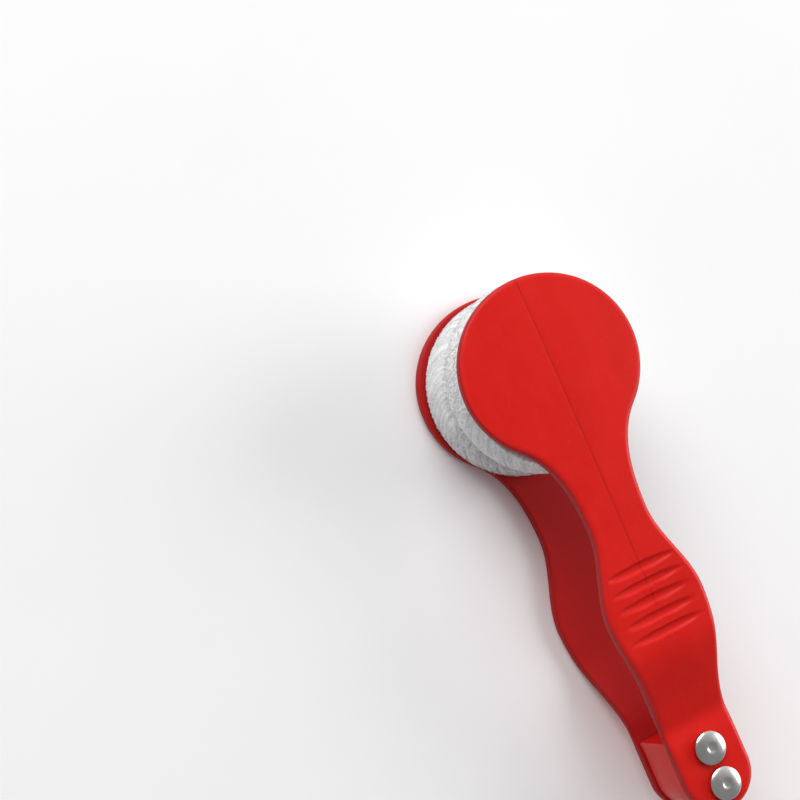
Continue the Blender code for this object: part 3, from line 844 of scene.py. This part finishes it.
def round_end(start_x, centre_x, half, narrows=0.0, steps=40):
    """An (x, y) loop, counter-clockwise, with a flat end at start_x and a round one about centre_x."""
    loop = [(start_x, half - narrows), (start_x, -half + narrows)]
    loop += [(start_x + (centre_x - start_x) * t, -half + narrows * (1 - t)) for t in (0.25, 0.5, 0.75)]
    for turn in np.linspace(-math.pi / 2, math.pi / 2, steps):
        loop.append((centre_x + half * math.cos(turn), half * math.sin(turn)))
    loop += [(start_x + (centre_x - start_x) * t, half - narrows * (1 - t)) for t in (0.75, 0.5, 0.25)]
    return loop


def cut_with(obj, mesh, operation):
    other = bpy.data.objects.new("cutter", mesh)
    bpy.context.scene.collection.objects.link(other)
    modifier = obj.modifiers.new("Boolean", "BOOLEAN")
    modifier.operation = operation
    modifier.object = other
    applied(obj)
    bpy.data.objects.remove(other)


def build_tail(red, steel):
    block_low, block_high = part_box("tail_block")
    start_x, half = block_low.x, block_high.y
    round_centre = ROOT_END_X - ROOT_HALF_WIDTH
    outline = round_end(start_x, round_centre, half)
    low, high = block_low.z, block_high.z
    block = new_object("clamp_block", closed_prism("clamp_block", outline, low, high, BLOCK_ROUND), red, 40)
    upright = Matrix.Translation((0, 0, MIDDLE_Z)) @ Matrix.Rotation(math.pi / 2, 4, "X")
    lug_loop = round_end(round_centre, LUG_X, LUG_RADIUS, LUG_NARROWS)
    lug = closed_prism("lug", lug_loop, -LUG_HALF_WIDTH, LUG_HALF_WIDTH, LUG_ROUND)
    lug.transform(upright)
    cut_with(block, lug, "UNION")
    # As shares of the hole's radius and of the lug's half width: a straight bore, flared at its rim
    flare = [(0.0, 1.5), (1.5, 1.5), (1.5, 1.02), (1.16, 0.99), (1.05, 0.93), (1.0, 0.84)]
    hole = [(r * LUG_HOLE_RADIUS, z * LUG_HALF_WIDTH) for r, z in flare]
    hole += [(r, -z) for r, z in hole[::-1]]
    drill = grid_mesh("lug_hole", rings(hole, LUG_HOLE_COLUMNS), True, 0.001 * MM)
    drill.transform(upright @ Matrix.Translation((LUG_X, 0, 0)))
    cut_with(block, drill, "DIFFERENCE")
    block.data.set_sharp_from_angle(angle=math.radians(40))
    for key in ("edge", "wall", "crease"):
        if key not in block.data.attributes:
            block.data.attributes.new(key, "FLOAT", "POINT")
    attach(block, "tail")
    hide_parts("tail_block")
    for number, x in enumerate(RIVET_XS, start=1):
        build_rivet(number, x, steel)


def build_rivet(number, x, steel):
    """A solid rivet whose domed heads have a small rounded rim and a shallow dimple from the setting tool."""
    low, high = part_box(f"tail_rivet_{number}")
    reach = (high.z - low.z) / 2
    radius = high.y
    under = reach - RIVET_HEAD_HEIGHT
    upper = []
    for t in np.linspace(0, 1, DOME_STEPS):
        rise = math.sqrt(max(0.0, 1 - (DOME_REACH * t) ** DOME_FULLNESS))
        dome = under + RIVET_BRIM + (RIVET_HEAD_HEIGHT - RIVET_BRIM) * rise
        dimple = DIMPLE_DEPTH * math.exp(-((t / DIMPLE_SHARE) ** 4))
        upper.append((radius * t, dome - dimple))
    upper += [(radius, under + RIVET_BEVEL[1]), (radius - RIVET_BEVEL[0], under), (RIVET_RADIUS, under)]
    profile = upper + [(r, -z) for r, z in upper[::-1]]
    mesh = grid_mesh("rivet", rings(profile, RIVET_COLUMNS), True, 0.001 * MM)
    mesh.transform(Matrix.Translation((x, 0, MIDDLE_Z)))
    rivet = new_object(f"rivet_{number}", mesh, steel, 40)
    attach(rivet, "tail")
    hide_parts(f"tail_rivet_{number}")


def build_split_ring(steel):
    """Flat wire wound twice round, with a ramp from one turn up to the other and square-cut ends."""
    middle_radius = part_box("key_ring")[1].y - RING_RADIAL / 2
    reach = 2 * middle_radius + RING_RADIAL / 2
    droop = math.asin((MIDDLE_Z - RING_CLEARANCE - RING_AXIAL / 2 * RING_SETTLES) / reach)
    wire_half = RING_AXIAL / 4 - RING_SEAM / 2
    section = []
    half_r, half_z = RING_RADIAL / 2 - RING_CORNER, wire_half - RING_CORNER
    for sign_r, sign_z, start in ((1, 1, 0), (-1, 1, 90), (-1, -1, 180), (1, -1, 270)):
        for turn in np.radians(np.linspace(start, start + 90, RING_CORNER_STEPS)):
            section.append((
                sign_r * half_r + RING_CORNER * math.cos(turn),
                sign_z * half_z + RING_CORNER * math.sin(turn),
            ))
    section = np.array(section)
    start, end = RING_RAMP * (1 + RING_GAP), 4 * math.pi - RING_RAMP * RING_GAP
    turns = np.linspace(start, end, RING_STEPS)
    climb = smooth_step((turns - 2 * math.pi) / RING_RAMP)
    levels = (climb * 2 - 1) * RING_AXIAL / 4
    radius = middle_radius + section[:, 0]
    rows = np.stack([
        np.outer(np.cos(turns), radius),
        np.outer(np.sin(turns), radius),
        levels[:, None] + section[:, 1],
    ], axis=-1)
    for end_row in (0, -1):
        centre = rows[end_row].mean(axis=0)
        rows[end_row] = centre + (rows[end_row] - centre) * RING_END_TAPER
    caps = [np.repeat(rows[i].mean(axis=0)[None], len(section), axis=0)[None] for i in (0, -1)]
    mesh = grid_mesh("split_ring", np.concatenate([caps[0], rows, caps[1]]), True, 0.0005 * MM)
    place = Matrix.Translation((LUG_X, 0, MIDDLE_Z)) @ Matrix.Rotation(droop, 4, "Y")
    facing = Matrix.Rotation(math.radians(RING_END_AT), 4, "Z")
    mesh.transform(place @ Matrix.Translation((middle_radius, 0, 0)) @ facing)
    ring = new_object("split_ring", mesh, steel, 50)
    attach(ring, "key_ring")
    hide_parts("key_ring")


# ---------------------------------------------------------------- stage

CAMERA_PLACE = Vector((-4.785, -96.011, 232.403)) * MM
CAMERA_FORWARD = Vector((0.00626, 0.33555, -0.94200))
CAMERA_UP = Vector((-0.91654, 0.37863, 0.12878))
LIGHTS = {  # where each stands, its size and its power
    "key": ((-0.62, -0.08, 0.50), 0.7, 5.2),
    "fill": ((0.12, 0.75, 0.34), 0.6, 3.2),
}
FLOOR_REACH = 20
SKY_BRIGHT_SIDE = (-0.55, 0.60, -0.10)
SKY_DIM, SKY_BRIGHT = (0.30, 0.30, 0.31, 1), (1.0, 1.0, 1.0, 1)
SKY_BRIGHT_FROM = 0.9  # the cosine to the bright side at which the sky is fully bright
SKY_STRENGTH = 0.9


def look_matrix(place, aim, picture_up):
    """A camera's matrix at place, looking at aim, with picture_up as near to up as it can be."""
    back = (place - aim).normalized()
    right = picture_up.cross(back).normalized()
    up = back.cross(right)
    return Matrix.Translation(place) @ Matrix((right, up, back)).transposed().to_4x4()


def build_camera():
    camera = bpy.data.objects.new("camera", bpy.data.cameras.new("camera"))
    bpy.context.scene.collection.objects.link(camera)
    camera.data.sensor_width = 36.0
    camera.data.lens = 90.0
    camera.data.clip_start = 0.01
    camera.matrix_world = look_matrix(CAMERA_PLACE, CAMERA_PLACE + CAMERA_FORWARD, CAMERA_UP)
    bpy.context.scene.camera = camera


def area_light(name, place, size, power):
    """A round soft light aimed at the origin."""
    light = bpy.data.lights.new(name, "AREA")
    light.shape = "DISK"
    light.size = size
    light.energy = power
    made = bpy.data.objects.new(name, light)
    made.location = place
    made.rotation_euler = (-Vector(place)).to_track_quat("-Z", "Y").to_euler()
    bpy.context.scene.collection.objects.link(made)


def build_sky():
    """A soft pale surround, brighter on one side."""
    world = bpy.data.worlds.new("world")
    world.use_nodes = True
    tree = world.node_tree
    spot = tree.nodes.new("ShaderNodeTexCoord")
    facing = tree.nodes.new("ShaderNodeVectorMath")
    facing.operation = "DOT_PRODUCT"
    facing.inputs[1].default_value = Vector(SKY_BRIGHT_SIDE).normalized()
    ramp = tree.nodes.new("ShaderNodeValToRGB")
    for stop, at, colour in zip(ramp.color_ramp.elements, (0.0, SKY_BRIGHT_FROM), (SKY_DIM, SKY_BRIGHT)):
        stop.position = at
        stop.color = colour
    background = tree.nodes["Background"]
    background.inputs["Strength"].default_value = SKY_STRENGTH
    tree.links.new(spot.outputs["Generated"], facing.inputs[0])
    tree.links.new(facing.outputs["Value"], ramp.inputs["Fac"])
    tree.links.new(ramp.outputs["Color"], background.inputs["Color"])
    bpy.context.scene.world = world


def build_stage():
    bm = bmesh.new()
    bmesh.ops.create_grid(bm, x_segments=2, y_segments=2, size=FLOOR_REACH)
    mesh = bpy.data.meshes.new("floor")
    bm.to_mesh(mesh)
    bm.free()
    floor = new_object("floor", mesh, floor_surface())
    for name, (place, size, power) in LIGHTS.items():
        area_light(name, place, size, power)
    build_sky()
    bpy.context.scene.view_settings.view_transform = "Standard"


# ---------------------------------------------------------------- the object


def dress(node, surface):
    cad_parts[node].data.materials.clear()
    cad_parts[node].data.materials.append(surface)


def main():
    red = red_plastic()
    steel = nickel_steel()
    tape = backing("foam_tape", (0.74, 0.74, 0.71), (0.84, 0.84, 0.82), 0.65, 0.8)
    disc = backing("backing_plastic", (0.70, 0.70, 0.69), (0.80, 0.80, 0.79), 0.4, 0.55)
    build_stage()
    build_camera()
    build_arms(red)
    build_pads(plush(), foam())
    for side in ("back", "front"):
        dress(side + "_pad_tape", tape)
        dress(side + "_pad_disc", disc)
    build_tail(red, steel)
    build_split_ring(steel)


main()
